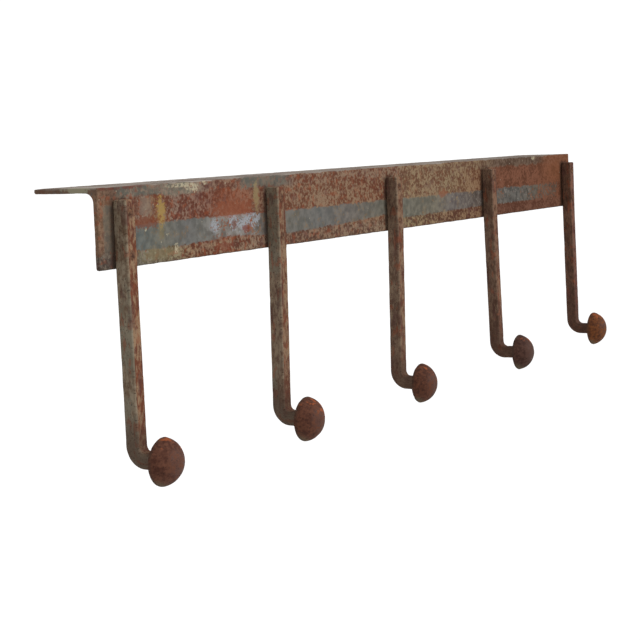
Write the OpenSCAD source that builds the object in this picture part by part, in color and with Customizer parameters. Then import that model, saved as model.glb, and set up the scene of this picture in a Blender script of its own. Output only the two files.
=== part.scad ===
// Wall hook rack: a length of angle iron that carries a row of long hooks.
// Each hook is a square bar riveted to the front of the rail, bent forward at
// the bottom and finished with a domed knob.
//
// +X runs along the rail, -Y is the front where the hooks stand, +Z is up.
// The origin is the middle of the row of screw holes, on the rail's top face.
// All sizes are in millimetres.

/* [Rail] */
// Length of the angle-iron rail
rail_len = 1058; // [700:1:1400]
// Width of each leg of the angle, over its outer face
leg_w = 75; // [55:0.5:100]
// Thickness of both legs
leg_t = 5; // [3:0.25:8]
// Radius of the fillet in the inner corner
root_r = 9; // [4:0.5:11]
// Radius that rounds the inner edge of each leg's toe
toe_r = 2.5; // [0.5:0.25:2.9]

/* [Screw holes in the top leg] */
// Diameter of each screw hole
screw_hole_d = 7; // [4:0.25:12]
// Distance of the hole line from the front face of the rail
screw_gauge = 42; // [28:0.5:47]

/* [Row of hooks] */
// Centre of the first hook from the left end of the rail
end_left = 29; // [12:0.5:60]
// Centre of the last hook from the right end of the rail
end_right = 21; // [12:0.5:60]
// Top end of each bar below the top of the rail
bar_top_gap = 12; // [4:0.5:18]

/* [Hook bar] */
// Side of the square bar, as it is riveted to the rail
bar_w = 14; // [10:0.1:18]
// How much thinner the bar is forged below the rail
draw_down = 0.2; // [0.2:0.05:1]
// Radius on the long edges of the bar
bar_edge_r = 1.25; // [0.5:0.25:3]
// Depth of the neck's centre line below the top of the rail
neck_drop = 251; // [180:1:320]
// Radius on the inside of the bottom bend
bend_r = 6.5; // [3:0.5:14]
// Length of the straight neck between the bend and the knob
neck_len = 11; // [6:0.5:30]

/* [Knob] */
// Diameter of the knob at its rim
knob_d = 45; // [36:0.5:60]
// Height of the dome in front of the rim
dome_h = 18; // [8:0.5:20]
// Depth of the conical back, from the neck to the rim
back_depth = 5; // [2:0.5:10]
// Width of the straight band around the rim
rim_w = 1.2; // [0.5:0.1:4]
// How far the knob's flat seat reaches past the corners of the bar
seat_margin = 0.8; // [0.2:0.1:3]

/* [Tenon that carries the knob] */
// Diameter of the round tenon on the end of the bar
tenon_d = 8; // [5:0.25:9]
// Length of the tenon
tenon_len = 14; // [6:0.5:16]
// Gap around and beyond the tenon in the knob
tenon_gap = 0.1; // [0.05:0.05:0.3]

/* [Rivets] */
// Diameter of the rivet shank
rivet_d = 6; // [4:0.25:8]
// Gap around the shank in its hole
rivet_gap = 0.1; // [0.05:0.05:0.3]
// Distance of a rivet from the end of the bar and from the rail's lower edge
rivet_edge = 11.75; // [8:0.25:16]
// How far the low front head reaches past the shank
front_head_lap = 1; // [0.5:0.1:2]
// Height of the low front head
front_head_h = 1; // [0.5:0.1:3]
// How far the round rear head reaches past the shank
rear_head_lap = 2.25; // [1:0.25:4]
// Height of the round head behind the rail
rear_head_h = 3; // [1:0.25:5]

/* [Hidden] */
$fn = 64;
HOOK_COUNT = 5;
// Length by which the thinner part of a bar is sunk into the part on the rail
buried = 2;
HOOKS = [0 : HOOK_COUNT - 1];
// Each hook is a little off its even place and not quite straight, as hand work is.
// From the left: distance to the right of its even place on the rail
OFF_PLACE = [0, -4, -5, -4, 0];
// Degrees by which the part below the rail leans out from the wall
LEAN = [0.65, -0.45, -0.65, 1.15, 0.65];
// Degrees by which the part below the rail swings to the right
SWAY = [0.25, -0.4, -0.35, 0.3, 0.15];
// How much lower each neck hangs than the design depth
EXTRA_DROP = [0, 2.5, 3, 1.5, 1.5];
// How much longer each neck is than the design length
EXTRA_NECK = [0, 0, 0, 2, 1];
hook_pitch = (rail_len - end_left - end_right) / (HOOK_COUNT - 1);
rail_left = -hook_pitch * (HOOK_COUNT - 1) / 2 - end_left;
front_y = -screw_gauge;
shank_w = bar_w - draw_down;
bend_mid_r = bend_r + shank_w / 2;
rivet_z_upper = -bar_top_gap - rivet_edge;
rivet_z_lower = -leg_w + rivet_edge;
front_head_d = rivet_d + 2 * front_head_lap;
rear_head_d = rivet_d + 2 * rear_head_lap;
seat_d = shank_w * sqrt(2) + 2 * seat_margin;

// The even place of hook i along the rail
function even_x(i) = hook_pitch * (i - (HOOK_COUNT - 1) / 2);

// Length of the straight bar from the lower edge of the rail to the bend of hook i
function shank_len(i) = neck_drop + EXTRA_DROP[i] - leg_w - bend_mid_r;

// Length of the straight neck of hook i
function own_neck_len(i) = neck_len + EXTRA_NECK[i];

// Puts a shape on hook i: its local origin is the middle of the bar's back
// face, at the height of the rail's top
module at_hook(i) {
    translate([even_x(i) + OFF_PLACE[i], front_y, 0])
        children();
}

// Moves a shape to where the bar's centre line passes the lower edge of the rail
module at_lower_edge(i) {
    at_hook(i)
        translate([0, -bar_w / 2, -leg_w])
            children();
}

// Places what hangs below the rail on hook i, with the lean and sway of that hook
module leaning(i) {
    at_lower_edge(i)
        rotate([-LEAN[i], -SWAY[i], 0])
            children();
}

// Moves a shape from the lower edge of the rail to the front end of the neck of
// hook i, with +Z pointing forward
module at_shoulder(i) {
    translate([0, -bend_mid_r - own_neck_len(i), -shank_len(i) - bend_mid_r])
        rotate([90, 0, 0])
            children();
}

// A square with its corners removed
module square_minus_corners(side, r) {
    difference() {
        square(side, center = true);
        for (sx = [-1, 1], sy = [-1, 1])
            translate([sx * side / 2, sy * side / 2])
                square(2 * r, center = true);
    }
}

// Section of the bar, centred, with the given side
module bar_section(side) {
    union() {
        square_minus_corners(side, bar_edge_r);
        for (sx = [-1, 1], sy = [-1, 1])
            translate([sx * (side / 2 - bar_edge_r), sy * (side / 2 - bar_edge_r)])
                circle(bar_edge_r);
    }
}

// Section of the angle: front face at x = 0, top face at y = 0
module rail_section() {
    difference() {
        union() {
            translate([0, -leg_w])
                square([leg_t, leg_w]);
            translate([0, -leg_t])
                square([leg_w, leg_t]);
            root_fillet();
        }
        toe_cut();
        mirror([1, 1])
            toe_cut();
    }
}

// What the fillet adds in the inner corner
module root_fillet() {
    difference() {
        translate([leg_t, -leg_t - root_r])
            square(root_r);
        translate([leg_t + root_r, -leg_t - root_r])
            circle(root_r);
    }
}

// What comes off the inner edge of the upright leg's toe
module toe_cut() {
    difference() {
        translate([leg_t - toe_r, -leg_w - 1])
            square(toe_r + 1);
        translate([leg_t - toe_r, -leg_w + toe_r])
            circle(toe_r);
    }
}

// A round hole or shank along Y, from its front end to its rear end
module rod_y(d, y_front, y_rear) {
    translate([0, y_rear, 0])
        rotate([90, 0, 0])
            cylinder(d = d, h = y_rear - y_front);
}

// Holes for both rivets of one hook
module rivet_holes() {
    for (z = [rivet_z_upper, rivet_z_lower])
        translate([0, 0, z])
            rod_y(rivet_d + 2 * rivet_gap, -bar_w - 1, leg_t + 1);
}

// Part of a ball above z = 0, with base diameter d and height h
module low_dome(d, h) {
    ball_r = (d * d / 4 + h * h) / (2 * h);
    rotate_extrude()
        intersection() {
            translate([0, h - ball_r])
                circle(ball_r);
            square([d, h]);
        }
}

// The length of angle iron, with its screw holes and rivet holes
module rail() {
    color("sienna")
        difference() {
            translate([rail_left, front_y, 0])
                rotate([90, 0, 90])
                    linear_extrude(rail_len)
                        rail_section();
            for (i = [0 : HOOK_COUNT - 2])
                translate([even_x(i + 0.5), 0, -leg_t - 1])
                    cylinder(d = screw_hole_d, h = leg_t + 2);
            for (i = HOOKS)
                at_hook(i)
                    rivet_holes();
        }
}

// The quarter bend at the bottom of hook i, from the end of the shank to the neck
module bottom_bend(i) {
    translate([0, -bend_mid_r, -shank_len(i)])
        rotate([0, -90, 0])
            rotate([0, 0, 90])
                rotate_extrude(angle = 90)
                    translate([bend_mid_r, 0])
                        bar_section(shank_w);
}

// The part of hook i below the rail: shank, bend, neck and tenon
module lower_hook(i) {
    translate([0, 0, -shank_len(i)])
        linear_extrude(shank_len(i) + buried)
            bar_section(shank_w);
    bottom_bend(i);
    at_shoulder(i) {
        translate([0, 0, -own_neck_len(i)])
            linear_extrude(own_neck_len(i))
                bar_section(shank_w);
        translate([0, 0, -1])
            cylinder(d = tenon_d, h = tenon_len + 1);
    }
}

// One square bar, bent forward at the bottom, with a tenon on its front end
module hook_bar(i) {
    color("saddlebrown")
        difference() {
            union() {
                at_lower_edge(i)
                    linear_extrude(leg_w - bar_top_gap)
                        bar_section(bar_w);
                leaning(i)
                    lower_hook(i);
            }
            at_hook(i)
                rivet_holes();
        }
}

// Half outline of the knob: x is the radius, y is the distance in front of the seat
module knob_outline() {
    rim_r = knob_d / 2;
    ball_r = (rim_r * rim_r + dome_h * dome_h) / (2 * dome_h);
    rim_y = back_depth + rim_w;
    polygon([[0, 0], [seat_d / 2, 0], [rim_r, back_depth], [rim_r, rim_y], [0, rim_y]]);
    intersection() {
        translate([0, rim_y + dome_h - ball_r])
            circle(ball_r);
        translate([0, rim_y])
            square([rim_r, dome_h]);
    }
}

// One domed knob, bored to take the tenon
module knob(i) {
    color("brown")
        leaning(i)
            at_shoulder(i)
                difference() {
                    rotate_extrude()
                        knob_outline();
                    translate([0, 0, -1])
                        cylinder(d = tenon_d + 2 * tenon_gap, h = tenon_len + tenon_gap + 1);
                }
}

// One rivet through bar and rail, at the given height
module rivet(i, z) {
    color("dimgray")
        at_hook(i)
            translate([0, 0, z]) {
                rod_y(rivet_d, -bar_w, leg_t);
                translate([0, -bar_w, 0])
                    rotate([90, 0, 0])
                        low_dome(front_head_d, front_head_h);
                translate([0, leg_t, 0])
                    rotate([-90, 0, 0])
                        low_dome(rear_head_d, rear_head_h);
            }
}

rail();
for (i = HOOKS) {
    hook_bar(i);
    knob(i);
    rivet(i, rivet_z_upper);
    rivet(i, rivet_z_lower);
}
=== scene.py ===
import math

import bpy
import numpy as np
from mathutils import Matrix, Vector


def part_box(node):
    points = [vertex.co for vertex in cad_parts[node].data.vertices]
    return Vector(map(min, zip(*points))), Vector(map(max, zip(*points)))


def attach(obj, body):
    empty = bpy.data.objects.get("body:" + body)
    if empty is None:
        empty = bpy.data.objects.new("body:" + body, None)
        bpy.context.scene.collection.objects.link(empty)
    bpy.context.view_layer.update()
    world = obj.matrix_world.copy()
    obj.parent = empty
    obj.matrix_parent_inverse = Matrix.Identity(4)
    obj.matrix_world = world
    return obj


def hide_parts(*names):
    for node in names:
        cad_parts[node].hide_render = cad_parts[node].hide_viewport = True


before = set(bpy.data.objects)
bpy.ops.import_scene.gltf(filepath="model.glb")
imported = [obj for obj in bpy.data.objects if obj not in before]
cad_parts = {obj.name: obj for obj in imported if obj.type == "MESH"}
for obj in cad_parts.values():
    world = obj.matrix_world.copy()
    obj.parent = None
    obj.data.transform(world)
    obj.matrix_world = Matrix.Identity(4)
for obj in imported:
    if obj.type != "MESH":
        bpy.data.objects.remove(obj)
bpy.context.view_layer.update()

# A length of angle iron with five forged hooks riveted to its front.
# +X runs along the rail, -Y is the front, +Z is up, and all sizes are in metres.
MM = 0.001
SLACK = 1e-6  # metres within which two places count as the same
HOOKS = range(1, 6)

# ---- sizes of the real pieces ----
LEG_T = 5 * MM  # thickness of both legs of the angle
ROOT_R = 9 * MM  # fillet in the inner corner of the angle
TOE_R = 2.5 * MM  # rounding on the inner edge of each toe
WORN_R = 0.9 * MM  # rounding that wear has put on the outer edges of the angle
SCREW_R = 3.5 * MM  # screw holes in the top leg
SCREW_X = [-378 * MM, -126 * MM, 126 * MM, 378 * MM]

BAR_W = 14 * MM  # side of the square bar where it lies on the rail
SHANK_W = 13.8 * MM  # side of the bar below the rail
BAR_EDGE_R = 1.25 * MM
FORGED = [0.3, 0.42, 0.26, 0.2, -0.06]  # in mm: how far each bar is over size on each side
BEND_R = 6.5 * MM + SHANK_W / 2  # bottom bend, at the middle of the bar
NECK_LEN = 11 * MM
NECK_DROP = 251 * MM  # middle of the neck below the top of the rail
LEAN = [0.65, -0.45, -0.65, 1.15, 0.65]  # degrees each hook leans out, from the left
SWAY = [0.25, -0.4, -0.35, 0.3, 0.15]  # degrees each hook swings to the right
EXTRA_DROP = [0, 2.5, 3, 1.5, 1.5]  # in mm: how much lower each neck hangs
EXTRA_NECK = [0, 0, 0, 2, 1]  # in mm: how much longer each neck is

KNOB_R = 22.5 * MM
SEAT_R = SHANK_W * math.sqrt(0.5) + 0.8 * MM
KNOB_BACK = 5 * MM  # depth of the conical back
KNOB_RIM = 1.2 * MM  # straight band around the rim
DOME_H = 18 * MM
UPSET = [0.2, 1.0, 0.6, 0.1, 0.7]  # in mm: how far each knob's rim was driven out by the hammer

APART = 1.0  # metres between the hooks in their patterns, so that no two are worn alike

RIVET_R = 3 * MM
FRONT_HEAD_R = 4 * MM
FRONT_HEAD_H = 1 * MM
REAR_HEAD_R = 5.25 * MM
REAR_HEAD_H = 3 * MM

rail_low, rail_high = (np.array(corner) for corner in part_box("rail"))
FRONT_Y = rail_low[1]
LOWER_Z = rail_low[2]


# ---- surfaces ----
def mixed_values(cells, seed):
    """A fixed value from 0 to 1 for each cell, made by multiplying and folding its three whole
    numbers."""
    mixed = np.full(cells.shape[:-1], seed * 7919 + 17, np.uint64)
    for axis, prime in enumerate((73856093, 19349663, 83492791)):
        mixed ^= cells[..., axis].astype(np.uint64) * np.uint64(prime)
        mixed = (mixed & np.uint64(0xFFFFFFFF)) * np.uint64(2654435761)
        mixed ^= mixed >> np.uint64(15)
    return (mixed & np.uint64(0xFFFFFF)) / 0xFFFFFF


def bumps(points, size, seed):
    """Smooth bumps from -1 to 1: each corner of a cubic lattice has a fixed value, and between the
    corners the values blend by 3t^2 - 2t^3 along each axis. One cell of the lattice is `size`
    wide."""
    scaled = points / size
    low = np.floor(scaled)
    t = scaled - low
    t = t * t * (3 - 2 * t)
    low = low.astype(np.int64)
    total = np.zeros(points.shape[:-1])
    for corner in np.ndindex(2, 2, 2):
        share = np.prod(np.where(np.array(corner) == 1, t, 1 - t), axis=-1)
        total += share * mixed_values(low + np.array(corner), seed)
    return 2 * total - 1


def eaten_depth(points, seed):
    """How deep rust has eaten below the new surface: broad swells, scabs 9 mm wide and pits 3.5 mm
    wide."""
    swells = 0.5 + 0.5 * bumps(points, 40 * MM, seed)
    scabs = np.clip(bumps(points, 9 * MM, seed + 1), 0, 1)
    pits = np.clip(bumps(points, 3.5 * MM, seed + 2) - 0.2, 0, 1)
    return (0.14 * swells + 0.20 * scabs + 0.42 * pits) * MM


def arc(centre, radius, start, end, steps):
    """Points of a circular arc in a plane, from the start angle up to but not including the end
    angle, in degrees."""
    angle = np.radians(np.linspace(start, end, steps + 1)[:-1])
    return np.array(centre) + radius * np.stack([np.cos(angle), np.sin(angle)], axis=1)


def stretch(start, end, step):
    """Evenly spaced points on a straight line, from the start up to but not including the end."""
    start, end = np.array(start), np.array(end)
    steps = max(1, round(np.linalg.norm(end - start) / step))
    return start + (end - start) * (np.arange(steps) / steps)[:, None]


def lines_with_fine_parts(start, end, centres, half, fine, step):
    """Rising values from start to end, `fine` apart within `half` of each centre and about `step`
    apart elsewhere."""
    parts, at = [], start
    for centre in centres:
        parts.append(np.linspace(at, centre - half, round((centre - half - at) / step) + 1)[:-1])
        parts.append(np.linspace(centre - half, centre + half, round(2 * half / fine) + 1)[:-1])
        at = centre + half
    parts.append(np.linspace(at, end, round((end - at) / step) + 1))
    return np.concatenate(parts)


def outward(outline):
    """Unit normals of a closed plane outline that runs anticlockwise: each is square to the line
    between the point's two neighbours."""
    along = np.roll(outline, -1, axis=0) - np.roll(outline, 1, axis=0)
    along /= np.linalg.norm(along, axis=1, keepdims=True)
    return np.stack([along[:, 1], -along[:, 0]], axis=1)


def tube_faces(rings, around):
    """Four-cornered faces between neighbouring rings of points, each ring closed on itself."""
    ring, place = np.meshgrid(np.arange(rings - 1), np.arange(around), indexing="ij")
    following = (place + 1) % around
    corners = [ring * around + place, ring * around + following,
               (ring + 1) * around + following, (ring + 1) * around + place]
    return np.stack(corners, axis=-1).reshape(-1, 4)


def finish_piece(name, vertices, faces, flat_faces, place, material, slot, *nodes):
    """Makes the mesh from faces that are already turned outwards, and hands the piece to the frame
    in place of its CAD nodes. `place` is each vertex's place on the piece before it was bent and set
    in position."""
    mesh = bpy.data.meshes.new(name)
    mesh.from_pydata(vertices.tolist(), [], faces + flat_faces)
    smooth = np.arange(len(mesh.polygons)) < len(faces)
    mesh.polygons.foreach_set("use_smooth", smooth)
    attribute = mesh.attributes.new("place_on_piece", "FLOAT_VECTOR", "POINT")
    attribute.data.foreach_set("vector", place.ravel())
    mesh.update()
    mesh.materials.append(material)
    piece = bpy.data.objects.new(name, mesh)
    bpy.context.scene.collection.objects.link(piece)
    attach(piece, "root")
    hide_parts(*nodes)
    return piece


def turned_outwards(vertices, faces):
    """The faces in the order that makes the enclosed volume positive. The volume is the sum, over
    the triangles of each face, of the box product of its corners divided by six."""
    volume = 0
    for corners in faces:
        first, second, third = (vertices[corners[:, k]] for k in range(3))
        volume += np.einsum("ij,ij->", first, np.cross(second, third))
        if corners.shape[1] == 4:
            volume += np.einsum("ij,ij->", first, np.cross(third, vertices[corners[:, 3]]))
    return faces if volume > 0 else [corners[:, ::-1] for corners in faces]


# ---- rail ----
# the rail's grid is fine around its screw holes, where square blocks of cells are left out of it
FINE_HALF = 12 * MM
FINE_STEP = 4 / 3 * MM
HOLE_BLOCK = 4 * MM  # half of the square block of cells that each screw hole takes
HOLE_REACH = 28 / 3 * MM  # how far from the middle of a hole the grid is drawn into circles


def rail_outline():
    """Section of the angle as (y, z), anticlockwise from the rear edge of the top leg. The outer
    edges have a small worn rounding, and the points are close together beside the screw holes."""
    front, rear = FRONT_Y, rail_high[1]
    inner = front + LEG_T
    fine = dict(centres=[0], half=FINE_HALF, fine=FINE_STEP, step=2.5 * MM)
    top_y = lines_with_fine_parts(front + WORN_R, rear - WORN_R, **fine)[:0:-1]
    under_y = lines_with_fine_parts(inner + ROOT_R, rear - TOE_R, **fine)[:-1]
    parts = [
        arc((rear - WORN_R, -WORN_R), WORN_R, 0, 90, 3),
        np.stack([top_y, 0 * top_y], axis=1),
        arc((front + WORN_R, -WORN_R), WORN_R, 90, 180, 3),
        stretch((front, -WORN_R), (front, LOWER_Z + WORN_R), 1.9 * MM),
        arc((front + WORN_R, LOWER_Z + WORN_R), WORN_R, 180, 270, 3),
        stretch((front + WORN_R, LOWER_Z), (inner - TOE_R, LOWER_Z), 0.9 * MM),
        arc((inner - TOE_R, LOWER_Z + TOE_R), TOE_R, 270, 360, 4),
        stretch((inner, LOWER_Z + TOE_R), (inner, -LEG_T - ROOT_R), 2.6 * MM),
        arc((inner + ROOT_R, -LEG_T - ROOT_R), ROOT_R, 180, 90, 8),
        np.stack([under_y, 0 * under_y - LEG_T], axis=1),
        arc((rear - TOE_R, -LEG_T + TOE_R), TOE_R, 270, 360, 4),
        stretch((rear, -LEG_T + TOE_R), (rear, -WORN_R), 0.9 * MM),
    ]
    return np.concatenate(parts)


def hole_rows(outline, z):
    """Places in the outline of the lines that cross a screw hole on the face at height z, in rising
    order of y."""
    on_face = np.abs(outline[:, 1] - z) < SLACK
    found = np.flatnonzero(on_face & (np.abs(outline[:, 0]) < HOLE_BLOCK + SLACK))
    return found[np.argsort(outline[found, 0])]


def rail(material):
    """The angle section carried along X, with each point moved inwards by the depth that rust has
    eaten, more along the outer edges. Around each screw hole the square rings of the grid are drawn
    into circles, the block of cells inside the hole is left out, and a wall joins its two edges."""
    outline = rail_outline()
    normals = outward(outline)
    bevel = 0.5 * MM
    inner_x = lines_with_fine_parts(rail_low[0] + bevel, rail_high[0] - bevel, SCREW_X,
                                    FINE_HALF, FINE_STEP, 2.2 * MM)
    x = np.concatenate([[rail_low[0]], inner_x, [rail_high[0]]])
    rings, around = len(x), len(outline)
    points = np.empty((rings, around, 3))
    points[..., 0] = x[:, None]
    points[..., 1:] = outline

    corners = [(FRONT_Y, 0), (FRONT_Y, LOWER_Z), (rail_high[1], 0)]
    to_edge = np.min([np.hypot(outline[:, 0] - y, outline[:, 1] - z) for y, z in corners], axis=0)
    edge_share = np.exp(-((to_edge / (1.6 * MM)) ** 2))
    chips = np.clip(bumps(points, 14 * MM, 31) + 0.5 * bumps(points, 5 * MM, 32), 0, 1)
    depth = eaten_depth(points, 3) + 0.7 * MM * edge_share * chips
    depth[[0, -1]] += bevel
    hole_reach = np.zeros((rings, around))
    for hole_x in SCREW_X:
        square = np.maximum(np.abs(points[..., 0] - hole_x), np.abs(points[..., 1]))
        far = np.clip((square - HOLE_BLOCK) / (HOLE_REACH - HOLE_BLOCK), 0, 1)
        hole_reach = np.maximum(hole_reach, 1 - far)
    on_top_leg = np.minimum(np.abs(outline[:, 1]), np.abs(outline[:, 1] + LEG_T)) < SLACK
    depth *= 1 - hole_reach * on_top_leg
    points[..., 1:] -= depth[..., None] * normals

    for hole_x in SCREW_X:
        dx, dy = points[..., 0] - hole_x, points[..., 1]
        square = np.maximum(np.abs(dx), np.abs(dy))
        radius = np.maximum(np.hypot(dx, dy), 1e-9)
        near = (square < HOLE_REACH) & on_top_leg
        keep = np.clip((square - HOLE_BLOCK) / (HOLE_REACH - HOLE_BLOCK), 0, 1)
        keep = keep * keep * (3 - 2 * keep)
        onto_circle = SCREW_R * square / HOLE_BLOCK / radius
        factor = np.where(near, keep + (1 - keep) * onto_circle, 1)
        points[..., 0] = hole_x + dx * factor
        points[..., 1] = dy * factor

    faces = tube_faces(rings, around)
    ring_of, place_of = np.divmod(faces[:, 0], around)
    top, under = hole_rows(outline, 0), hole_rows(outline, -LEG_T)
    in_hole_row = np.isin(place_of, top[1:]) | np.isin(place_of, under[:-1])
    walls = []
    gone = np.zeros(len(faces), bool)
    for hole_x in SCREW_X:
        columns = np.flatnonzero(np.abs(x - hole_x) < HOLE_BLOCK + SLACK)
        gone |= in_hole_row & (ring_of >= columns[0]) & (ring_of < columns[-1])
        edges = []
        for rows in (top, under):
            edges.append(np.concatenate([
                columns[:-1] * around + rows[0], columns[-1] * around + rows[:-1],
                columns[:0:-1] * around + rows[-1], columns[0] * around + rows[:0:-1]]))
        upper, lower = edges
        walls.append(np.stack([np.roll(upper, -1), upper, lower, np.roll(lower, -1)], axis=1))
    wall_faces = np.concatenate(walls)
    faces = faces[~gone]
    vertices = points.reshape(-1, 3)
    faces, = turned_outwards(vertices, [faces])
    first, second = wall_faces[0][:2].tolist()
    if (second, first) not in edges_of(faces):
        wall_faces = wall_faces[:, ::-1]
    faces = np.concatenate([faces, wall_faces])
    start = list(range(around))
    end = [(rings - 1) * around + k for k in range(around)]
    caps = caps_that_match(faces, start, end)
    used = np.unique(np.concatenate([faces.ravel(), start, end]))
    renumber = np.full(len(vertices), -1)
    renumber[used] = np.arange(len(used))
    caps = [[int(renumber[k]) for k in cap] for cap in caps]
    return finish_piece("angle_iron_rail", vertices[used], renumber[faces].tolist(), caps,
                        vertices[used], material, "rail_iron", "rail")


def edges_of(faces):
    """Every edge of four-cornered faces, as pairs in the direction in which the face runs."""
    edges = np.concatenate([faces[:, [k, (k + 1) % 4]] for k in range(4)])
    return set(map(tuple, edges.tolist()))


def caps_that_match(faces, *caps):
    """The end faces, each in the order that runs against its neighbours."""
    edges = edges_of(faces)
    return [cap if (cap[1], cap[0]) in edges else cap[::-1] for cap in caps]


# ---- hook bars ----
def hook_place(i):
    """Where hook i stands: the middle of its bar at the lower edge of the rail, and the turn of
    what hangs below."""
    low, high = (np.array(corner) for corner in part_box(f"rivet_upper_{i}"))
    middle = np.array([(low[0] + high[0]) / 2, FRONT_Y - BAR_W / 2, LOWER_Z])
    lean, sway = math.radians(-LEAN[i - 1]), math.radians(-SWAY[i - 1])
    turn = Matrix.Rotation(sway, 3, "Y") @ Matrix.Rotation(lean, 3, "X")
    return middle, np.array(turn)


def shank_and_neck(i):
    """Lengths of the straight parts of hook i: from the rail's lower edge to the bend, and from the
    bend to the knob."""
    return NECK_DROP + EXTRA_DROP[i - 1] * MM + LOWER_Z - BEND_R, NECK_LEN + EXTRA_NECK[i - 1] * MM


def square_section(flat_steps, arc_steps):
    """A square with rounded corners as two lists: each point is its core point, on a square of half
    side 1, times the half side less the corner radius, plus its unit normal times the corner
    radius."""
    cores, normals = [], []
    signs = [(1, 1), (-1, 1), (-1, -1), (1, -1)]
    for k, (this, following) in enumerate(zip(signs, signs[1:] + signs[:1])):
        angle = np.radians(90 * k + 90 * np.arange(arc_steps) / arc_steps)
        cores.append(np.repeat([this], arc_steps, axis=0))
        normals.append(np.stack([np.cos(angle), np.sin(angle)], axis=1))
        share = (np.arange(flat_steps) / flat_steps)[:, None]
        cores.append(np.array(this) * (1 - share) + np.array(following) * share)
        end = math.radians(90 * (k + 1))
        normals.append(np.repeat([[math.cos(end), math.sin(end)]], flat_steps, axis=0))
    return np.concatenate(cores).astype(float), np.concatenate(normals)


def hook_bar(i, material):
    """The rounded square carried down the rail, down the leaning shank, round a quarter circle and
    out along the neck. The half side and each face's depth vary slowly along the bar, as hammering
    leaves them."""
    middle, turn = hook_place(i)
    top_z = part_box(f"hook_bar_{i}")[1][2]
    on_rail = top_z - LOWER_Z
    shank, neck = shank_and_neck(i)
    into_knob = 1 * MM
    step = 1 * MM
    bend = BEND_R * math.pi / 2
    total = on_rail + shank + bend + neck + into_knob
    top_inset = [1.3, 0.55, 0.15]  # in mm: how far the worn top end draws in on its first rings
    regular = np.linspace(1.6 * MM, total, round(total / step))
    along = np.concatenate([[0, 0.35 * MM, 0.9 * MM], regular])
    below = np.clip(along - on_rail, 0, None)
    angle = np.clip((below - shank) / BEND_R, 0, math.pi / 2)
    past = np.clip(below - shank - bend, 0, None)
    height = on_rail - np.minimum(along, on_rail) - np.minimum(below, shank)
    height = height - BEND_R * np.sin(angle)
    forward = BEND_R * (1 - np.cos(angle)) + past

    cores, normals = square_section(9, 4)
    bar_place = np.empty((len(along), len(cores), 3))
    bar_place[..., :2] = cores * SHANK_W / 2
    bar_place[..., 2] = along[:, None] + i * APART
    half = np.where(along < on_rail, BAR_W / 2, SHANK_W / 2)[:, None] + FORGED[i - 1] * MM
    half = half - 0.07 * MM * (1 + bumps(bar_place, 24 * MM, 50 + i))
    half[:3] -= np.array(top_inset)[:, None] * MM
    section = cores * (half - BAR_EDGE_R)[..., None] + normals * BAR_EDGE_R
    depth = eaten_depth(bar_place * [1, 1, 0.6], 60 + i) * 0.6
    depth += 0.10 * MM * bumps(bar_place * [0.6, 0.6, 1], 13 * MM, 70 + i)
    section = section - depth[..., None] * normals

    # the section's second direction points forward while the bar heads down, and up once it
    # heads forward
    points = np.empty((len(along), len(cores), 3))
    points[..., 0] = section[..., 0]
    points[..., 1] = -(forward[:, None] + section[..., 1] * np.cos(angle)[:, None])
    points[..., 2] = height[:, None] + section[..., 1] * np.sin(angle)[:, None]
    hangs = (along > on_rail)[:, None, None]
    points = np.where(hangs, points @ turn.T, points) + middle
    points[..., 1] = np.where(hangs[..., 0], points[..., 1], np.minimum(points[..., 1], FRONT_Y))

    rings, around = points.shape[:2]
    vertices = points.reshape(-1, 3)
    faces, = turned_outwards(vertices, [tube_faces(rings, around)])
    start = list(range(around))
    end = [(rings - 1) * around + k for k in range(around)]
    caps = caps_that_match(faces, start, end)
    return finish_piece(f"forged_hook_bar_{i}", vertices, faces.tolist(), caps,
                        bar_place.reshape(-1, 3), material, "bar_iron", f"hook_bar_{i}")


# ---- turned pieces: knobs and rivets ----
def turned(profile, around):
    """A profile of (distance along the axis, radius) points turned round the axis, as rings of
    points in the piece's own frame: across, up and along the axis. The first and last points lie on
    the axis and become poles."""
    angle = 2 * np.pi * np.arange(around) / around
    inner = profile[1:-1]
    rings = np.empty((len(inner), around, 3))
    rings[..., 0] = inner[:, 1, None] * np.cos(angle)
    rings[..., 1] = inner[:, 1, None] * np.sin(angle)
    rings[..., 2] = inner[:, 0, None]
    along = np.gradient(profile, axis=0)[1:-1]
    along /= np.linalg.norm(along, axis=1, keepdims=True)
    normals = np.empty_like(rings)
    normals[..., 0] = along[:, 0, None] * np.cos(angle)
    normals[..., 1] = along[:, 0, None] * np.sin(angle)
    normals[..., 2] = -along[:, 1, None]
    return rings, normals


def turned_piece(name, rings, poles, placed, material, slot, node):
    """Joins the rings to a pole at each end, after `placed` has put the points in position on the
    object."""
    count, around = rings.shape[:2]
    place = np.concatenate([rings.reshape(-1, 3), [[0, 0, poles[0]], [0, 0, poles[1]]]])
    vertices = placed(place)
    ring = np.arange(around)
    following = (ring + 1) % around
    first, last = count * around, count * around + 1
    start_fan = np.stack([following, ring, np.full(around, first)], axis=1)
    end = (count - 1) * around
    end_fan = np.stack([end + ring, end + following, np.full(around, last)], axis=1)
    sides = tube_faces(count, around)
    quads, start_fan, end_fan = turned_outwards(vertices, [sides, start_fan, end_fan])
    faces = quads.tolist() + start_fan.tolist() + end_fan.tolist()
    return finish_piece(name, vertices, faces, [], place, material, slot, node)


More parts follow.
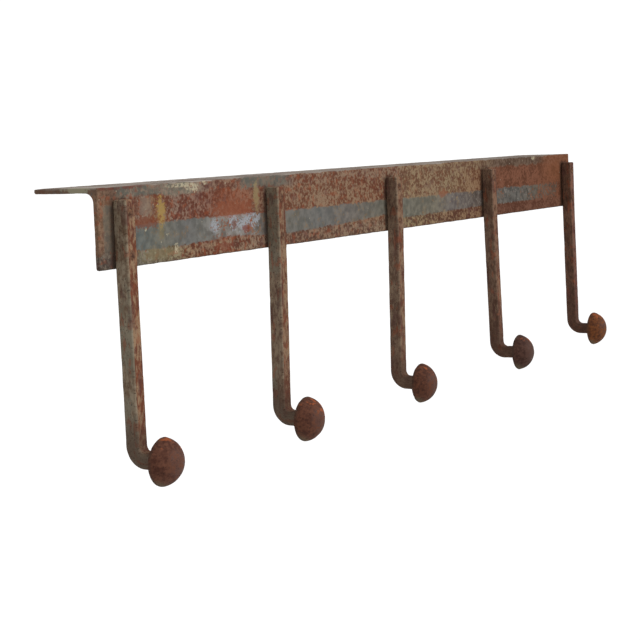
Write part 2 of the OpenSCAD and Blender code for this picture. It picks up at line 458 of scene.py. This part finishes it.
def knob_profile():
    """Flat seat, conical back, narrow rim with both edges a little rounded, and a dome that is part
    of a ball."""
    ball_r = (KNOB_R**2 + DOME_H**2) / (2 * DOME_H)
    rim_z = KNOB_BACK + KNOB_RIM
    seat = stretch((0, 0), (0, SEAT_R), 1.2 * MM)
    cone = stretch((0, SEAT_R), (KNOB_BACK, KNOB_R), 0.9 * MM)
    rim = stretch((KNOB_BACK, KNOB_R), (rim_z, KNOB_R), 0.4 * MM)
    angle = np.linspace(math.asin(KNOB_R / ball_r), 0, 46)
    centre_z = rim_z + DOME_H - ball_r
    dome = np.stack([centre_z + ball_r * np.cos(angle), ball_r * np.sin(angle)], axis=1)
    profile = np.concatenate([seat, cone, rim, dome])
    for _ in range(2):
        profile[1:-1] = 0.5 * profile[1:-1] + 0.25 * (profile[:-2] + profile[2:])
    return profile


def knob(i, material):
    """The knob's profile turned round its axis, with a rim that is slightly out of round, flats
    left by the hammer about 11 mm wide, and rust pits. It sits on the end of the neck and leans
    with its hook."""
    middle, turn = hook_place(i)
    rings, normals = turned(knob_profile(), 144)
    angle = np.arctan2(rings[..., 1], rings[..., 0])
    rim_share = np.clip(np.hypot(rings[..., 0], rings[..., 1]) / KNOB_R, 0, 1) ** 4
    set_apart = rings + [0, 0, i * APART]
    out_of_round = 0.12 * MM * rim_share * np.cos(2 * angle + 1.7 * i)
    notches = 0.4 * MM * rim_share * np.clip(bumps(set_apart, 10 * MM, 90 + i), 0, 1)
    flats = 0.2 * MM * bumps(set_apart, 11 * MM, 80 + i)
    on_dome = np.clip((rings[..., 2] - KNOB_BACK) / (2 * MM), 0, 1)
    off_seat = np.clip(rings[..., 2] / MM, 0, 1)
    eaten = eaten_depth(set_apart, 85 + i) * off_seat
    depth = out_of_round + notches + flats * on_dome + eaten
    rings = rings - depth[..., None] * normals
    rings[..., :2] *= 1 + UPSET[i - 1] * MM / KNOB_R
    shank, neck = shank_and_neck(i)
    seat_forward, seat_drop = BEND_R + neck, shank + BEND_R

    def placed(points):
        x, y, z = points[:, 0], -seat_forward - points[:, 2], points[:, 1] - seat_drop
        return np.stack([x, y, z], axis=1) @ turn.T + middle

    poles = (0, KNOB_BACK + KNOB_RIM + DOME_H - 0.3 * MM)
    return turned_piece(f"domed_knob_{i}", rings, poles, placed, material, "knob_iron", f"knob_{i}")


def rivet_profile(length):
    """Low front head, shank and round rear head, each head part of a ball, from the front to the
    rear."""
    heads = []
    for radius, height in ((FRONT_HEAD_R, FRONT_HEAD_H), (REAR_HEAD_R, REAR_HEAD_H)):
        ball_r = (radius**2 + height**2) / (2 * height)
        angle = np.linspace(0, math.asin(radius / ball_r), 12)
        heads.append(np.stack([ball_r * (1 - np.cos(angle)), ball_r * np.sin(angle)], axis=1))
    front, rear = heads
    shank = stretch((FRONT_HEAD_H, RIVET_R), (length - REAR_HEAD_H, RIVET_R), 1.5 * MM)
    return np.concatenate([front, shank, [length, 0] + rear[::-1] * [-1, 1]])


def rivet(name, material):
    """The rivet's profile turned round its axis, with heads that the hammer left a little
    uneven."""
    low, high = (np.array(corner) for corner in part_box(name))
    rings, normals = turned(rivet_profile(high[1] - low[1]), 40)
    centre = (low + high) / 2
    uneven = 0.16 * MM * (1 + bumps(rings + centre, 3 * MM, 120))
    rings = rings - uneven[..., None] * normals

    def placed(points):
        x, y, z = points[:, 0] + centre[0], points[:, 2] + low[1], points[:, 1] + centre[2]
        return np.stack([x, y, z], axis=1)

    poles = (0.1 * MM, high[1] - low[1] - 0.1 * MM)
    return turned_piece(f"{name}_set", rings, poles, placed, material, "rivet_iron", name)


# ---- materials ----
def linear(colour):
    """An sRGB hex colour as linear red, green and blue with alpha 1."""
    parts = [int(colour[k : k + 2], 16) / 255 for k in (1, 3, 5)]
    return [c / 12.92 if c <= 0.04045 else ((c + 0.055) / 1.055) ** 2.4 for c in parts] + [1]


def add(tree, kind, inputs=None, stops=(), **settings):
    """Adds a shader node with its settings. Each input gets a value, or a link from a socket or
    from the first output in use of another node. Stops are the places and colours of a colour
    ramp."""
    made = tree.nodes.new("ShaderNode" + kind)
    for name, value in settings.items():
        setattr(made, name, value)
    for name, value in (inputs or {}).items():
        if isinstance(value, bpy.types.Node):
            value = next(socket for socket in value.outputs if socket.enabled)
        if isinstance(value, bpy.types.NodeSocket):
            tree.links.new(value, made.inputs[name])
        else:
            made.inputs[name].default_value = linear(value) if isinstance(value, str) else value
    for k, (place, colour) in enumerate(stops):
        elements = made.color_ramp.elements
        element = elements[k] if k < 2 else elements.new(place)
        element.position = place
        element.color = linear(colour) if isinstance(colour, str) else [colour, colour, colour, 1]
    return made


def new_material(name):
    """An empty node material with its output."""
    material = bpy.data.materials.new(name)
    material.use_nodes = True
    tree = material.node_tree
    tree.nodes.clear()
    return material, tree, add(tree, "OutputMaterial")


def millimetres(tree, of_piece=False):
    """The place on the object, or the place on the piece before it was bent and set in position. It
    is scaled to millimetres, so that every pattern size below is a real one."""
    if of_piece:
        place = add(tree, "Attribute", attribute_name="place_on_piece").outputs["Vector"]
    else:
        place = add(tree, "TexCoord").outputs["Object"]
    return add(tree, "VectorMath", {0: place, "Scale": 1000}, operation="SCALE")


def where(tree, *parts):
    """A mask that is 1 only where every part of it holds. A part is a mask, or a value with two
    limits: it rises smoothly from 0 at the first limit to 1 at the second, which may be the
    lower."""
    mask = None
    for part in parts:
        if isinstance(part, tuple):
            ends = dict(zip(("Value", "From Min", "From Max"), part))
            part = add(tree, "MapRange", ends, interpolation_type="SMOOTHSTEP")
        if mask is None:
            mask = part
        else:
            mask = add(tree, "Math", {0: mask, 1: part}, operation="MULTIPLY")
    return mask


def laid(tree, surface, colour, share, *parts):
    """The colour laid over the surface, by the given share where every part of its mask holds."""
    amount = add(tree, "Math", {0: where(tree, *parts), 1: share}, operation="MULTIPLY")
    inputs = {0: amount, 6: surface, 7: colour}
    return add(tree, "Mix", inputs, data_type="RGBA", clamp_factor=True)


def summed(tree, *parts):
    """The sum of several values, each times its own number."""
    total = 0.0
    for value, times in parts:
        total = add(tree, "Math", {0: value, 1: times, 2: total}, operation="MULTIPLY_ADD")
    return total


def moved_by(tree, value, pattern, reach):
    """A value pushed up and down by a pattern around 0.5, for edges that wander by about a fifth of
    the reach."""
    centred = add(tree, "Math", {0: pattern, 1: 0.5}, operation="SUBTRACT")
    return add(tree, "Math", {0: centred, 1: reach, 2: value}, operation="MULTIPLY_ADD")


def spots(tree, across, up, ovals):
    """A mask that is 1 inside any of the ovals and 0 outside. Each oval has its centre, its half
    width and height, all in mm, and a pattern that breaks up its edge."""
    mask = 0.0
    for centre, half, ragged in ovals:
        squares = []
        for value, middle, reach in zip((across, up), centre, half):
            off = add(tree, "Math", {0: value, 1: middle}, operation="SUBTRACT")
            off = add(tree, "Math", {0: off, 1: reach}, operation="DIVIDE")
            squares.append(add(tree, "Math", {0: off, 1: off}, operation="MULTIPLY"))
        far = add(tree, "Math", {0: squares[0], 1: squares[1]}, operation="ADD")
        far = moved_by(tree, add(tree, "Math", {0: far}, operation="SQRT"), ragged, 3.2)
        inside = where(tree, (far, 1.15, 0.75))
        mask = add(tree, "Math", {0: mask, 1: inside}, operation="MAXIMUM")
    return mask


def shaded(tree, output, colour, roughness, height, bump_mm, specular):
    """The finished surface: a non-metal skin of rust or paint, with its roughness pattern and its
    relief in mm."""
    relief = add(tree, "Bump", {"Height": height, "Strength": 1.0, "Distance": bump_mm * MM})
    skin = add(tree, "BsdfPrincipled", {"Base Color": colour, "Roughness": roughness,
                                        "Normal": relief, "Specular IOR Level": specular})
    tree.links.new(skin.outputs[0], output.inputs["Surface"])


def along_rail(tree, x, stops):
    """A colour or value that changes along the rail: each stop is x in mm and a hex colour or a
    value."""
    left, right = RAIL_ENDS
    share = add(tree, "MapRange", {"Value": x, "From Min": left, "From Max": right})
    places = [((at - left) / (right - left), colour) for at, colour in stops]
    return add(tree, "ValToRGB", {"Fac": share}, stops=places)


def two_tone(tree, x, lighter_where, stops):
    """A mottled skin of two colours that both change along the rail: each stop is x in mm, the
    darker colour and the lighter one. The lighter shows where its part of a mask holds."""
    darker = along_rail(tree, x, [(at, low) for at, low, high in stops])
    lighter = along_rail(tree, x, [(at, high) for at, low, high in stops])
    return laid(tree, darker, lighter, 1.0, lighter_where)


RAIL_ENDS = (-533, 525)  # in mm: x of the rail's left and right ends
# Each stop is x in mm along the rail, then a darker and a lighter colour. The first three tables are
# the rust and undercoat of the rail's front in three strips, and then come its top coat, the painted
# sheen on the top face, the fronts and the sides of the bars, and the knobs.
# Towards the right end most colours grow darker: partly the rust's own colour, partly painted
# fall-off of the light, which is brighter at the left end.
TOP_STRIP = [
    (-533, "#6b513d", "#856955"), (-512, "#4b362c", "#6f5646"), (-500, "#5e5348", "#857465"),
    (-385, "#5d5348", "#8d7d6d"), (-370, "#62443a", "#88705f"), (-325, "#683d2d", "#8f6f5a"),
    (-300, "#5c5249", "#826f60"), (-226, "#5b5149", "#7e6d60"), (-205, "#683d2b", "#8f7560"),
    (10, "#69412e", "#907863"), (40, "#6a4b37", "#947e62"), (225, "#684a36", "#8e775c"),
    (285, "#503b2c", "#715c4c"), (420, "#4e392b", "#6c5747"), (450, "#5f3722", "#7b5340"),
    (525, "#633a22", "#805540")]
UPPER_STRIP = [
    (-533, "#735843", "#8e715b"), (-485, "#693a27", "#775543"), (-470, "#6f5243", "#8f7b6b"),
    (-452, "#6e3f2b", "#8a6b50"), (-420, "#643a2c", "#8e7565"), (-360, "#643525", "#886352"),
    (-340, "#74402b", "#8c5b46"), (-295, "#753e28", "#91644e"), (-285, "#5e382a", "#866853"),
    (-225, "#673e2b", "#90765f"), (-20, "#693c29", "#8e735a"), (30, "#6a4b37", "#968062"),
    (110, "#67422e", "#8f795e"), (150, "#6a4832", "#927f62"), (225, "#603924", "#8d6e52"),
    (285, "#5c3520", "#7c4f3a"), (525, "#5a3420", "#784b35")]
LOWER_STRIP = [
    (-533, "#4f443b", "#786c60"), (-505, "#50443a", "#786a5b"), (-475, "#595145", "#857e6d"),
    (-420, "#614e39", "#93866a"), (-395, "#5f3524", "#967a60"), (-270, "#5b3729", "#927a66"),
    (-225, "#573b2e", "#8c705b"), (-20, "#5d4232", "#907a64"), (40, "#5c4532", "#988463"),
    (130, "#553524", "#94795d"), (225, "#563324", "#8a6c50"), (285, "#542f1d", "#724c3b"),
    (525, "#542f1d", "#724c39")]
TOP_COAT = [
    (-533, "#5a4e40", "#71654a"), (-484, "#585850", "#74726a"), (-475, "#565e5c", "#6c726e"),
    (-440, "#5d5e55", "#77766b"), (-400, "#5c5d5a", "#70706d"), (-375, "#60615b", "#7e7e78"),
    (-345, "#635d56", "#8e8a84"), (-300, "#686058", "#989590"), (-270, "#5a5650", "#736d69"),
    (-228, "#5e5d54", "#75726b"), (-160, "#595c5a", "#706f6b"), (-100, "#5c5955", "#77716a"),
    (-20, "#5a5a50", "#747166"), (30, "#5c5c51", "#767367"), (110, "#5b584d", "#787263"),
    (150, "#5a5251", "#767069"), (225, "#4a423c", "#665c55"), (285, "#433f3a", "#66615a"),
    (350, "#42423e", "#64625c"), (410, "#433b31", "#655c4f"), (525, "#4c3325", "#6b5040")]
TOP_SHEEN = [
    (-533, "#93887e", "#b1a79d"), (525, "#7c7167", "#968c82")]
BAR_FRONT = [
    (-533, "#6f3f2a", "#987a5e"), (-380, "#693b29", "#917358"), (-130, "#65402f", "#8c725a"),
    (120, "#5f3a2b", "#88694f"), (370, "#583428", "#805c49"), (525, "#54322a", "#7a5544")]
BAR_SIDE = [
    (-533, "#715c48", "#998a75"), (-380, "#6d5644", "#94826c"), (-130, "#634a3b", "#8b7560"),
    (120, "#5c4234", "#816a56"), (370, "#4f372a", "#735644"), (525, "#4b3225", "#6e4e3c")]
KNOB_SKIN = [
    (-533, "#4f2c20", "#6b4332"), (-100, "#4a291d", "#693f2c"), (130, "#46271b", "#643b28"),
    (250, "#3c231b", "#563b31"), (390, "#422619", "#623c29"), (440, "#4c2814", "#7a4622"),
    (525, "#4c2814", "#7a4622")]
# x in mm and how much of the top coat is left there along its band, from 0 to 1
COAT_LEFT = [
    (-533, 0.0), (-484, 0.0), (-481, 1.0), (-395, 1.0), (-360, 0.82), (-330, 0.74), (-285, 0.70),
    (-262, 0.92), (-225, 1.0), (-100, 0.9), (10, 0.96), (120, 0.86), (225, 0.78), (285, 0.86),
    (390, 0.80), (430, 0.60), (482, 0.46), (488, 0.0)]
# x in mm and how far below the rail's top the band of top coat starts and ends there, in dm
COAT_UPPER_END = [
    (-533, 0.37), (-300, 0.37), (-265, 0.385), (-20, 0.385), (30, 0.39), (525, 0.40)]
COAT_LOWER_END = [
    (-533, 0.605), (-400, 0.61), (-330, 0.58), (-230, 0.625), (-120, 0.60), (-20, 0.555),
    (30, 0.62), (225, 0.60), (525, 0.60)]
RIVETS_DOWN = [11.75, 51.25]  # in mm: how far below the top of its bar each rivet is


def painted_angle_iron():
    """Hot-rolled mild steel angle with the remains of old brushed paint: a blue-grey top coat
    survives in a band along the middle of the front, and elsewhere it has flaked to khaki undercoat
    in specks on orange-brown rust."""
    material, tree, output = new_material("flaked_paint_on_rusted_angle_iron")
    place = millimetres(tree)
    x, y, z = add(tree, "SeparateXYZ", {0: place}).outputs
    # cloudy patterns, mostly from 0.35 to 0.65: the width of their features in mm, and their detail
    cloud, scab, fleck, speck, bloom, film, smear, stray = (
        add(tree, "TexNoise", {"Vector": place, "Scale": 1 / size, "Detail": detail,
                               "Roughness": fineness})
        for size, detail, fineness in (
            (45, 3, 0.55), (12, 4, 0.6), (3.3, 4, 0.62), (1.8, 2, 0.6),
            (7, 3, 0.55), (10, 3, 0.55), (8, 4, 0.55), (3, 0, 0.55)))
    on_front = where(tree, (y, -40.8, -41.2))

    # specks of undercoat and rust mix everywhere, in drifts where one of them has the upper hand
    drift = moved_by(tree, moved_by(tree, fleck, scab, 0.55), cloud, 0.25)
    wander = moved_by(tree, z, scab, 16.0)
    top, upper, lower = (two_tone(tree, x, (drift, 0.39, 0.61), strip)
                         for strip in (TOP_STRIP, UPPER_STRIP, LOWER_STRIP))
    bare = laid(tree, top, upper, 1.0, (wander, -9.0, -13.0))
    bare = laid(tree, bare, lower, 1.0, (wander, -57.0, -63.0))
    # orange bloom, dark film, a smooth orange right end, and pits
    for colour, share, *parts in (
            ("#8f4a2c", 0.5, (bloom, 0.53, 0.62), (x, 330.0, -300.0)),
            ("#5e3b36", 0.45, (film, 0.54, 0.66), (x, 300.0, 200.0)),
            ("#84502f", 0.35, (x, 400.0, 470.0), (wander, -45.0, -30.0)),
            ("#3a231a", 0.5, (speck, 0.42, 0.33), (x, 420.0, 150.0))):
        bare = laid(tree, bare, colour, share, *parts)

    # the band of top coat on the front, nibbled at its edges and worn through in places
    edge = moved_by(tree, moved_by(tree, z, fleck, 7.0), scab, 6.0)
    depth = add(tree, "Math", {0: edge, 1: -0.01}, operation="MULTIPLY")  # in dm, downwards
    past_upper, past_lower = (
        add(tree, "Math", {0: depth, 1: along_rail(tree, x, ends)}, operation="SUBTRACT")
        for ends in (COAT_UPPER_END, COAT_LOWER_END))
    worn = add(tree, "Math", {0: drift, 1: 1.9, 2: -0.43}, operation="MULTIPLY_ADD")
    held = add(tree, "Math", {0: along_rail(tree, x, COAT_LEFT), 1: worn}, operation="SUBTRACT")
    coat = where(tree, (past_upper, -0.008, 0.008), (past_lower, 0.010, -0.010), on_front,
                 (held, -0.03, 0.09))
    chalk = spots(tree, x, z, (
        ((-355, -46), (9, 8), speck), ((-322, -44), (10, 8), fleck),
        ((-299, -46), (16, 8), fleck), ((-285, -42), (8, 7), fleck)))
    coat_tone = two_tone(tree, x, (smear, 0.34, 0.66), TOP_COAT)
    # ochre showing through, blistered chalk, and pale dust at the right
    for colour, share, *parts in (
            ("#7a664a", 0.5, (scab, 0.53, 0.62), (fleck, 0.46, 0.56)),
            ("#a1a5ab", 1.0, chalk, (speck, 0.34, 0.56)),
            ("#979189", 0.45, (x, 150.0, 200.0), (fleck, 0.56, 0.62))):
        coat_tone = laid(tree, coat_tone, colour, share, *parts)
    surface = laid(tree, bare, coat_tone, 0.94, coat)

    # smaller remains of top coat: along the upper edge, by the second hook and at the left end
    left_part = where(tree, (x, -512.0, -500.0), (x, -385.0, -400.0))
    by_second = where(tree, (x, -318.0, -300.0), (x, -215.0, -235.0))
    both_parts = add(tree, "Math", {0: left_part, 1: by_second}, operation="MAXIMUM")
    upper_edge = where(tree, (wander, -12.5, -9.5), both_parts, (drift, 0.58, 0.48))
    strip = where(tree, (x, -527.0, -524.0), (x, -510.0, -513.0), (wander, -14.0, -19.0),
                  (wander, -64.0, -58.0), (drift, 0.68, 0.60))
    remains = add(tree, "Math", {0: upper_edge, 1: strip}, operation="MAXIMUM")
    small = where(tree, remains, on_front)
    small_tone = laid(tree, "#5f5f56", "#7b7363", 1.0, (scab, 0.40, 0.60))
    surface = laid(tree, surface, small_tone, 0.7, small)

    # single marks: mustard and khaki undercoat, a salmon patch, smooth orange rust, cream flecks
    for centre, half, colour, share in (
            ((-441, -27), (6, 15), "#a88b50", 0.8), ((-463, -23), (10, 11), "#867566", 0.6),
            ((-441, -45), (4, 8), "#7d7250", 0.5), ((-281, -21), (5, 14), "#94805c", 0.8),
            ((130, -38), (12, 5), "#87583f", 0.8), ((-322, -30), (34, 8), "#8a5038", 0.65),
            ((-468, -35), (26, 6), "#783f28", 0.7), ((-448, -66), (26, 6), "#857a5a", 0.55),
            ((-520, -69), (9, 5), "#4a403b", 0.5), ((-300, -52), (7, 4), "#7a3c2c", 0.8),
            ((-322, -47), (4, 4), "#6f4434", 0.8), ((-340, -67), (16, 5), "#7c3f2b", 0.6)):
        mark = spots(tree, x, z, [(centre, half, fleck)])
        surface = laid(tree, surface, colour, share, mark, on_front)
    cream = spots(tree, x, z, (
        ((-410, -3), (26, 2.5), fleck), ((-391, -6), (11, 4), speck), ((-371, -2), (4, 3), speck),
        ((401, -2), (7, 3), speck), ((-419, -63), (3, 4), speck), ((-465, -42), (1.6, 1.3), speck),
        ((-432, -49), (1.6, 1.3), speck)))
    surface = laid(tree, surface, "#bfb497", 0.8, cream, on_front, (fleck, 0.42, 0.54))
    surface = laid(tree, surface, "#b9ae98", 0.6, (stray, 0.80, 0.84))

    # behind, larger remains of top coat; on top, a mauve-beige and pale grey painted sheen where the
    # top face catches the light at a glancing angle; along the outer edges, dark lines
    on_top = where(tree, (z, -1.9, -1.3), (y, -41.7, -41.1))
    top_sheen_tone = two_tone(tree, x, (cloud, 0.38, 0.60), TOP_SHEEN)
    sheen_drift = moved_by(tree, drift, cloud, 0.8)
    end_flake = spots(tree, y, z, [((-17, -1), (14, 4), fleck)])
    for colour, share, *parts in (
            ("#666966", 0.8, (y, -37.6, -36.6), (cloud, 0.50, 0.56), (drift, 0.58, 0.48)),
            ("#7d7066", 0.55, on_top),
            (top_sheen_tone, 0.75, on_top, (sheen_drift, 0.32, 0.50)),
            ("#6a5446", 0.6, (x, -531.2, -532.0), (z, -7.0, -5.0)),
            ("#a09a80", 0.8, end_flake, (x, -528.0, -531.0)),
            ("#65332a", 0.7, (z, -3.4, -2.2), (x, -455.0, -475.0), (fleck, 0.40, 0.52), on_front),
            ("#493e36", 0.5, (z, -73.2, -74.2), (scab, 0.38, 0.5))):
        surface = laid(tree, surface, colour, share, *parts)

    # painted contact shadow: a dark strip on the rail's front beside each bar, where the bar shades
    # the rail
    wandering_x = moved_by(tree, x, fleck, 5.0)
    corner = 0.0
    for i in HOOKS:
        middle = hook_place(i)[0][0] / MM
        beside = where(tree, (wandering_x, middle - 14.5, middle - 8.5),
                       (wandering_x, middle + 14.5, middle + 8.5))
        corner = add(tree, "Math", {0: corner, 1: beside}, operation="MAXIMUM")
    surface = laid(tree, surface, "#362820", 0.65, corner, (wander, -7.0, -13.0), on_front)

    # paint is smoother than rust, and stands a little above it
    smooth = add(tree, "Math", {0: coat, 1: small}, operation="MAXIMUM")
    roughness = add(tree, "MapRange", {"Value": smooth, "To Min": 0.9, "To Max": 0.62})
    crust = summed(tree, (speck, 0.5), (fleck, 0.5))
    uncovered = add(tree, "Math", {0: smooth, 1: -0.7, 2: 1.0}, operation="MULTIPLY_ADD")
    crust = add(tree, "Math", {0: crust, 1: uncovered}, operation="MULTIPLY")
    relief = add(tree, "Math", {0: smooth, 1: 0.42, 2: crust}, operation="MULTIPLY_ADD")
    shaded(tree, output, surface, roughness, relief, 0.5, 0.2)
    return material


def forged_bar_iron():
    """Square wrought bar, forge-blackened and then rusted: rust and undercoat streak along the bar,
    grey-green paint holds on the side that was brushed, and the bends and necks are dark with
    handling."""
    material, tree, output = new_material("rusted_forged_bar")
    x = add(tree, "SeparateXYZ", {0: millimetres(tree)}).outputs[0]
    own = millimetres(tree, of_piece=True)
    across, front, along = add(tree, "SeparateXYZ", {0: own}).outputs
    down = add(tree, "Math", {0: along, 1: APART / MM}, operation="FLOORED_MODULO")
    drawn = add(tree, "VectorMath", {0: own, 1: (1, 1, 0.45)}, operation="MULTIPLY")
    streak, scab, brushed, bloom, film, speck, cloud = (
        add(tree, "TexNoise", {"Vector": place, "Scale": 1 / size, "Detail": detail,
                               "Roughness": fineness})
        for place, size, detail, fineness in (
            (drawn, 3.6, 4, 0.62), (drawn, 10, 4, 0.6), (drawn, 14, 3, 0.55), (drawn, 7, 3, 0.55),
            (drawn, 9, 3, 0.55), (own, 1.8, 2, 0.6), (own, 38, 2, 0.55)))
    drift = moved_by(tree, moved_by(tree, streak, scab, 0.6), cloud, 0.5)

    front_skin = two_tone(tree, x, (drift, 0.40, 0.60), BAR_FRONT)
    side_skin = two_tone(tree, x, (drift, 0.32, 0.68), BAR_SIDE)
    left_side, back = where(tree, (across, -5.2, -6.2)), where(tree, (front, -4.5, -5.5))
    side = add(tree, "Math", {0: left_side, 1: back}, operation="MAXIMUM")
    surface = laid(tree, front_skin, side_skin, 1.0, side)
    # brushed paint, orange bloom, dark film, grime from hands on the bend and neck, and pits
    for colour, share, *parts in (
            ("#797464", 0.6, (brushed, 0.46, 0.56), side, (x, 60.0, -300.0)),
            ("#88472b", 0.5, (bloom, 0.55, 0.64)),
            ("#573530", 0.5, (film, 0.56, 0.66)),
            ("#51362a", 0.6, (moved_by(tree, down, scab, 60.0), 186.0, 226.0)),
            ("#33211a", 0.65, (speck, 0.42, 0.33))):
        surface = laid(tree, surface, colour, share, *parts)
    # a dark disc round each rivet head on the bar's front: partly a stain, partly painted shade
    # round the head
    for height in RIVETS_DOWN:
        above = add(tree, "Math", {0: down, 1: height}, operation="SUBTRACT")
        away = add(tree, "CombineXYZ", {0: across, 1: above})
        far = add(tree, "VectorMath", {0: away}, operation="LENGTH").outputs["Value"]
        surface = laid(tree, surface, "#412a20", 0.45, (far, 6.0, 3.5), (front, 5.0, 6.0))
    roughness = add(tree, "MapRange", {"Value": scab, "From Min": 0.35, "From Max": 0.65,
                                       "To Min": 0.9, "To Max": 0.72})
    relief = summed(tree, (speck, 0.4), (streak, 0.6))
    shaded(tree, output, surface, roughness, relief, 0.55, 0.22)
    return material


def knob_iron():
    """Upset and hammered iron knobs: dark red-brown rust, smoother on the crown, which carries a
    painted mauve-grey sheen; orange spots on the upper right shoulder, partly rust and partly a
    painted highlight where the light falls; a painted shade on the back; and olive remains of paint
    under the rim."""
    material, tree, output = new_material("rust_and_painted_sheen_on_knob")
    x = add(tree, "SeparateXYZ", {0: millimetres(tree)}).outputs[0]
    own = millimetres(tree, of_piece=True)
    across, up, out = add(tree, "SeparateXYZ", {0: own}).outputs
    # each knob takes its patterns from another place, so that no two are alike
    apart = add(tree, "Math", {0: x, 1: across}, operation="SUBTRACT")
    apart = add(tree, "CombineXYZ", {0: apart, 1: apart})
    moved = add(tree, "VectorMath", {0: own, 1: apart}, operation="ADD")
    scab, fleck, speck, bloom = (
        add(tree, "TexNoise", {"Vector": moved, "Scale": 1 / size, "Detail": detail,
                               "Roughness": fineness})
        for size, detail, fineness in ((9, 4, 0.6), (3.6, 4, 0.62), (1.8, 2, 0.6), (7, 2, 0.55)))
    drift = moved_by(tree, fleck, scab, 0.6)
    surface = two_tone(tree, x, (drift, 0.32, 0.68), KNOB_SKIN)
    # the crown: smoother, and the place of the painted sheen
    crown = where(tree, (out, 18.5, 23.0), (drift, 0.60, 0.46))
    shoulder = moved_by(tree, summed(tree, (across, 1.0), (up, 1.3)), scab, 60.0)
    # the crown's painted mauve-grey sheen, orange rust with a painted highlight on the upper right
    # shoulder, paint low on the rim, painted shade on the back, and pits
    for colour, share, *parts in (
            ("#694a3f", 0.35, crown),
            ("#a2542b", 0.8, (shoulder, 8.0, 20.0), (bloom, 0.51, 0.62)),
            ("#665c44", 0.55, (moved_by(tree, up, fleck, 16.0), -11.0, -17.0), (out, 15.0, 8.0)),
            ("#3f3227", 0.5, (out, 9.0, 7.0), (scab, 0.36, 0.5)),
            ("#2c1a14", 0.6, (speck, 0.40, 0.30))):
        surface = laid(tree, surface, colour, share, *parts)
    roughness = add(tree, "MapRange", {"Value": crown, "To Min": 0.78, "To Max": 0.5})
    relief = summed(tree, (speck, 0.4), (fleck, 0.6))
    shaded(tree, output, surface, roughness, relief, 0.5, 0.22)
    return material


def rivet_iron():
    """Soft iron rivets, hammered over hot: their scale has rusted with the bars and stays a little
    darker."""
    material, tree, output = new_material("dark_scale_on_rivets")
    place = millimetres(tree)
    scab, speck = (
        add(tree, "TexNoise", {"Vector": place, "Scale": 1 / size, "Detail": detail,
                               "Roughness": 0.6})
        for size, detail in ((4, 3), (1.6, 2)))
    surface = laid(tree, "#4c3023", "#7a563f", 1.0, (scab, 0.42, 0.60))
    surface = laid(tree, surface, "#8d7055", 0.6, (speck, 0.56, 0.66))
    roughness = add(tree, "MapRange", {"Value": scab, "From Min": 0.35, "From Max": 0.65,
                                       "To Min": 0.7, "To Max": 0.9})
    shaded(tree, output, surface, roughness, speck, 0.35, 0.22)
    return material


# ---- pieces ----
rail(painted_angle_iron())
bar_skin, knob_skin, rivet_skin = forged_bar_iron(), knob_iron(), rivet_iron()
for number in HOOKS:
    hook_bar(number, bar_skin)
    knob(number, knob_skin)
    rivet(f"rivet_upper_{number}", rivet_skin)
    rivet(f"rivet_lower_{number}", rivet_skin)


# ---- floor, light and camera ----
def pale_floor():
    """A plain matt disc, its points on a circle, as far down as a rack hangs above a floor."""
    drop, radius = 1.7, 1.5  # in metres
    around = 96
    angle = 2 * np.pi * np.arange(around) / around
    x, y = radius * np.cos(angle), radius * np.sin(angle)
    ring = np.stack([x, y, np.full(around, -drop)], axis=1)
    mesh = bpy.data.meshes.new("floor")
    mesh.from_pydata(ring.tolist(), [], [list(range(around))])
    floor = bpy.data.objects.new("floor", mesh)
    bpy.context.scene.collection.objects.link(floor)
    material, tree, output = new_material("matt_white_floor")
    skin = add(tree, "BsdfPrincipled", {"Base Color": "#f7f7f7", "Roughness": 1.0,
                                        "Specular IOR Level": 0.0})
    tree.links.new(skin.outputs[0], output.inputs["Surface"])
    mesh.materials.append(material)


def set_facing(body, eye, right, forward):
    """Puts a lamp or camera at the eye point, looking forward, with its right-hand side to the
    right."""
    up = np.cross(right, forward)
    turned_to = np.vstack([np.column_stack([right, up, -forward, eye]), [0, 0, 0, 1]])
    body.matrix_world = Matrix(turned_to.tolist())
    bpy.context.scene.collection.objects.link(body)


def studio_light():
    """A white surround that is dimmer as a light than as a backdrop, and one broad soft light from
    the front, a little to the right and above."""
    world = bpy.data.worlds.new("white_surround")
    bpy.context.scene.world = world
    world.use_nodes = True
    tree = world.node_tree
    tree.nodes.clear()
    seen = add(tree, "LightPath").outputs["Is Camera Ray"]
    strength = add(tree, "MapRange", {"Value": seen, "To Min": 0.56, "To Max": 1.1})
    surround = add(tree, "Background", {"Color": (1, 1, 1, 1), "Strength": strength})
    tree.links.new(surround.outputs[0], add(tree, "OutputWorld").inputs["Surface"])
    sun = bpy.data.lights.new("broad_front_light", "SUN")
    sun.energy = 1.5
    sun.angle = math.radians(18)
    lamp = bpy.data.objects.new("broad_front_light", sun)
    towards = np.array([0.28, -0.72, 0.62])
    forward = -towards / np.linalg.norm(towards)
    right = np.cross(forward, [0, 0, 1])
    set_facing(lamp, [0, -2, 2], right / np.linalg.norm(right), forward)


def camera():
    """The view along the rail from its left end and a little above, turned by two degrees about its
    own axis."""
    data = bpy.data.cameras.new("camera")
    data.sensor_width = 36
    data.lens = 89.31
    data.shift_x = 0.0072
    data.shift_y = -0.1314
    data.clip_end = 200
    eye = [-1.62883, -0.96793, 0.03871]
    right = np.array([0.53365, -0.84488, -0.03742])
    forward = np.array([0.84257, 0.53496, -0.06246])
    body = bpy.data.objects.new("camera", data)
    set_facing(body, eye, right, forward)
    bpy.context.scene.camera = body


pale_floor()
studio_light()
camera()
bpy.context.scene.view_settings.view_transform = "Standard"

bpy.context.view_layer.update()
